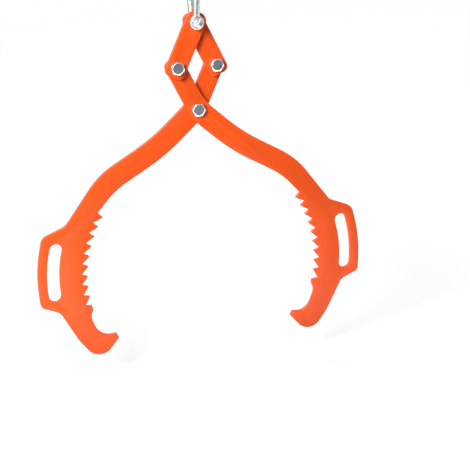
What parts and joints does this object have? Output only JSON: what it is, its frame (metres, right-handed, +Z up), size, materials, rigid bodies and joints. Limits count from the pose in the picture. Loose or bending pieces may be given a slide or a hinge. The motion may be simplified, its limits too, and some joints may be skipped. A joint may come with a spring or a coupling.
{
  "type": "log lifting tongs",
  "caption": "Scissor tongs of flat steel plate with toothed hooked jaws, slotted hand grips, a link pair and a bow shackle, for lifting and dragging logs.",
  "frame": {"origin": "where the crane hook bears, at the inside top of the shackle's bow", "axes": "+Z up along the load line, +X across the jaws towards the right jaw, +Y from the front of the plates to their back, along every pivot"},
  "size_m": [0.6792, 0.0936, 0.7312],
  "materials": {
    "orange_powder_coat": "orange powder coat, semi-gloss, on laser-cut plate with eased edges",
    "galvanised_forging": "bright galvanised drop forging",
    "galvanised_pin": "bright galvanised, turned shoulder and shaft",
    "zinc_plate": "bright zinc plate with a faint blue passivation",
    "wear_steel": "plain rolled steel, oiled",
    "nylon": "natural white nylon"
  },
  "bodies": {
    "shackle": {"shackle_body": "galvanised_forging", "shackle_pin": "galvanised_pin"},
    "left_link": {"link_left": "orange_powder_coat", "bolt_left": "zinc_plate", "wear_washer_left": "wear_steel", "wear_washer_top": "wear_steel", "washer_left": "zinc_plate", "nut_left": "zinc_plate", "nut_insert_left": "nylon"},
    "right_link": {"link_right": "orange_powder_coat", "bolt_right": "zinc_plate", "wear_washer_right": "wear_steel", "washer_right": "zinc_plate", "nut_right": "zinc_plate", "nut_insert_right": "nylon"},
    "right_jaw": {"jaw_right": "orange_powder_coat", "bolt_cross": "zinc_plate", "wear_washer_cross": "wear_steel", "washer_cross": "zinc_plate", "nut_cross": "zinc_plate", "nut_insert_cross": "nylon"},
    "left_jaw": {"jaw_left": "orange_powder_coat"}
  },
  "joints": [
    {"name": "tongs_swing", "type": "hinge", "parent": "shackle", "child": "left_link", "pos_m": [0, 0, -0.056], "axis": [0, 1, 0], "range_deg": [-54, 90]},
    {"name": "tongs_opening", "type": "hinge", "parent": "left_link", "child": "right_link", "pos_m": [0, 0, -0.056], "axis": [0, -1, 0], "range_deg": [-25, 72]},
    {"name": "right_jaw_hinge", "type": "hinge", "parent": "left_link", "child": "right_jaw", "pos_m": [-0.0409, 0, -0.14175], "axis": [0, -1, 0], "range_deg": [-26, 73]},
    {"name": "left_jaw_hinge", "type": "hinge", "parent": "right_link", "child": "left_jaw", "pos_m": [0.0409, 0, -0.14175], "axis": [0, 1, 0], "range_deg": [-26, 73]}
  ],
  "couplings": [
    {"joint": "right_jaw_hinge", "follows": "tongs_opening", "ratio": 1},
    {"joint": "left_jaw_hinge", "follows": "tongs_opening", "ratio": 1}
  ]
}
